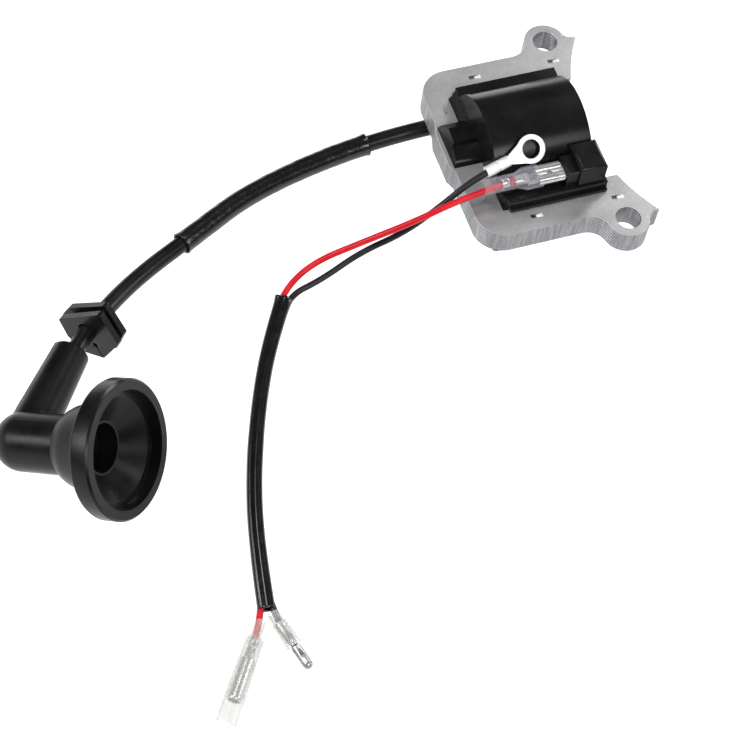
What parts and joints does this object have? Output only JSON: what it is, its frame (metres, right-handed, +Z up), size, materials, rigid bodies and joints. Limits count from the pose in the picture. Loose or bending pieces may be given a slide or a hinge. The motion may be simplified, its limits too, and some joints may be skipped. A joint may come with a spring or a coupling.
{
  "type": "ignition coil",
  "caption": "Small-engine ignition coil: laminated core with mounting ears, potted housing, high-tension lead with grommet and plug boot, and a wire harness.",
  "frame": {"origin": "midway between the two mounting holes, on the lower face of the laminated core", "axes": "+X toward the flywheel, +Y along the line of the mounting holes away from the primary terminal, +Z up, the side the dome stands on"},
  "size_m": [0.1831, 0.1686, 0.0408],
  "materials": {
    "core_steel": "rolled silicon steel, satin, sheared edges",
    "housing_plastic": "glossy moulded black",
    "tinned_steel": "bright tin plate",
    "bobbin_plastic": "moulded",
    "copper_wire": "enamelled copper",
    "tape": "polyester film",
    "board": "glass-fibre board",
    "chip_epoxy": "moulded epoxy",
    "capacitor_resin": "dipped resin",
    "resistor_ceramic": "ceramic body",
    "brass_contact": "turned",
    "potting_resin": "cast epoxy",
    "clear_pvc": "clear soft sleeve",
    "boot_rubber": "satin moulded rubber",
    "lead_rubber": "extruded, satin",
    "red_insulation": "extruded vinyl",
    "black_insulation": "extruded vinyl",
    "black_vinyl": "glossy soft sleeve"
  },
  "bodies": {
    "coil": {"core_plate_01": "core_steel", "core_plate_02": "core_steel", "core_plate_03": "core_steel", "core_plate_04": "core_steel", "core_plate_05": "core_steel", "core_plate_06": "core_steel", "core_plate_07": "core_steel", "housing": "housing_plastic", "spade_tab": "tinned_steel", "primary_bobbin": "bobbin_plastic", "primary_winding": "copper_wire", "insulating_tape": "tape", "secondary_bobbin": "bobbin_plastic", "secondary_winding": "copper_wire", "control_board": "board", "transistor": "chip_epoxy", "capacitor": "capacitor_resin", "resistor": "resistor_ceramic", "earth_strap": "tinned_steel", "ht_contact": "brass_contact", "epoxy_potting": "potting_resin", "strain_relief": "boot_rubber", "ht_lead": "lead_rubber", "vinyl_sleeve": "black_vinyl"},
    "harness": {"red_wire": "red_insulation", "black_wire": "black_insulation", "harness_sleeve": "black_vinyl", "receptacle": "tinned_steel", "ring_terminal": "tinned_steel", "female_bullet": "tinned_steel", "male_bullet": "tinned_steel", "male_bullet_sleeve": "clear_pvc"},
    "receptacle_cover": {"receptacle_sleeve": "clear_pvc"},
    "female_cover": {"female_bullet_sleeve": "clear_pvc"},
    "grommet_body": {"grommet": "boot_rubber"},
    "plug_boot": {"boot": "boot_rubber", "spring_terminal": "tinned_steel"}
  },
  "joints": [
    {"name": "harness_unplug", "type": "slide", "parent": "coil", "child": "harness", "axis": [-1, 0, 0], "range_m": [0, 0.01]},
    {"name": "receptacle_cover_slide", "type": "slide", "parent": "harness", "child": "receptacle_cover", "axis": [1, 0, 0], "range_m": [0, 0.002]},
    {"name": "female_cover_slide", "type": "slide", "parent": "harness", "child": "female_cover", "axis": [0.5661, 0.8243, 0], "range_m": [0, 0.0012]},
    {"name": "grommet_slide", "type": "slide", "parent": "coil", "child": "grommet_body", "axis": [0.744, 0.6634, -0.0802], "range_m": [-0.0012, 0.004]},
    {"name": "boot_swivel", "type": "hinge", "parent": "coil", "child": "plug_boot", "pos_m": [-0.16659, -0.0499, -0.00038], "axis": [0.6076, 0.7934, -0.0378], "range_deg": [-60, 14]}
  ]
}
